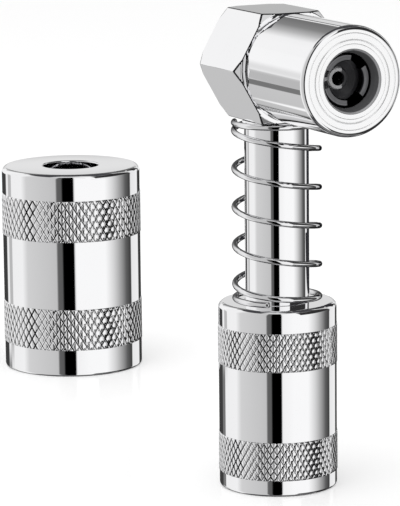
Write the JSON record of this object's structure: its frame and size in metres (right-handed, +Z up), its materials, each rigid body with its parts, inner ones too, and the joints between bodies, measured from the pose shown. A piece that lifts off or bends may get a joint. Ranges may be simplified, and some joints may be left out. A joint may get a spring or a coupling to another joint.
{
  "type": "right angle grease coupler",
  "caption": "Right angle grease coupler: jawed nozzle head on a stem, spring-loaded knurled locking sleeve over its grease fitting, and a wider spare sleeve.",
  "frame": {"origin": "centre of the fitted sleeve's open mouth, on the stem's axis, on the surface that both sleeves stand on", "axes": "+Z up the stem towards the head, +X along the nozzle towards its mouth"},
  "size_m": [0.1372, 0.0307, 0.077],
  "materials": {
    "polished_chrome": "mirror polished chrome plate",
    "knurled_chrome": "mirror polished chrome plate with diamond knurled bands",
    "chromed_wire": "bright plated spring wire",
    "spring_wire": "drawn spring wire",
    "zinc_steel": "turned and zinc plated steel",
    "hardened_steel": "dark oiled hardened steel",
    "black_rubber": "moulded nitrile rubber",
    "seal_rubber": "moulded grey polyurethane"
  },
  "bodies": {
    "root": {"hex_body": "polished_chrome", "nose_barrel": "polished_chrome", "barrel_o_ring": "black_rubber", "stem_tube": "polished_chrome", "stem_seal_washer": "zinc_steel", "jaw_spring": "spring_wire", "seal_spring": "spring_wire", "return_spring": "chromed_wire", "retaining_ring": "hardened_steel", "grease_fitting": "zinc_steel", "fitting_spring": "spring_wire"},
    "sleeve_stop": {"stop_washer": "zinc_steel"},
    "sleeve": {"knurled_sleeve": "knurled_chrome"},
    "collar": {"jaw_collar": "zinc_steel"},
    "jaw_a": {"jaw_1": "hardened_steel"},
    "jaw_b": {"jaw_2": "hardened_steel"},
    "jaw_c": {"jaw_3": "hardened_steel"},
    "piston": {"seal_piston": "zinc_steel", "nozzle_seal": "seal_rubber", "piston_o_ring": "black_rubber"},
    "check_ball": {"fitting_ball": "hardened_steel"},
    "spare_sleeve": {"wide_sleeve": "knurled_chrome"}
  },
  "joints": [
    {"name": "sleeve_slide", "type": "slide", "parent": "root", "child": "sleeve_stop", "axis": [0, 0, 1], "range_m": [0, 0.02], "stiffness_N_per_m": 700, "springref_m": -0.011, "deforming": ["return_spring"]},
    {"name": "sleeve_spin", "type": "hinge", "parent": "sleeve_stop", "child": "sleeve", "pos_m": [0, 0, 0], "axis": [0, 0, 1], "continuous": true},
    {"name": "collar_slide", "type": "slide", "parent": "root", "child": "collar", "axis": [-1, 0, 0], "range_m": [0, 0.0014], "stiffness_N_per_m": 2800, "springref_m": -0.0015, "deforming": ["jaw_spring"]},
    {"name": "jaw_1_slide", "type": "slide", "parent": "root", "child": "jaw_a", "axis": [-0.9659, 0.2576, -0.0248], "range_m": [0, 0.00145]},
    {"name": "jaw_2_slide", "type": "slide", "parent": "root", "child": "jaw_b", "axis": [-0.9659, -0.1073, 0.2355], "range_m": [0, 0.00145]},
    {"name": "jaw_3_slide", "type": "slide", "parent": "root", "child": "jaw_c", "axis": [-0.9659, -0.1503, -0.2107], "range_m": [0, 0.00145]},
    {"name": "piston_slide", "type": "slide", "parent": "collar", "child": "piston", "axis": [-1, 0, 0], "range_m": [0, 0.0016], "stiffness_N_per_m": 900, "springref_m": -0.002, "deforming": ["seal_spring"]},
    {"name": "ball_lift", "type": "slide", "parent": "root", "child": "check_ball", "axis": [0, 0, 1], "range_m": [0, 0.0008], "stiffness_N_per_m": 650, "springref_m": -0.0006, "deforming": ["fitting_spring"]},
    {"name": "wide_sleeve_lift", "type": "slide", "parent": "root", "child": "spare_sleeve", "axis": [0, 0, 1], "range_m": [0, 0.09]}
  ],
  "couplings": [
    {"joint": "jaw_1_slide", "follows": "collar_slide", "ratio": 1.0353},
    {"joint": "jaw_2_slide", "follows": "collar_slide", "ratio": 1.0353},
    {"joint": "jaw_3_slide", "follows": "collar_slide", "ratio": 1.0353}
  ]
}
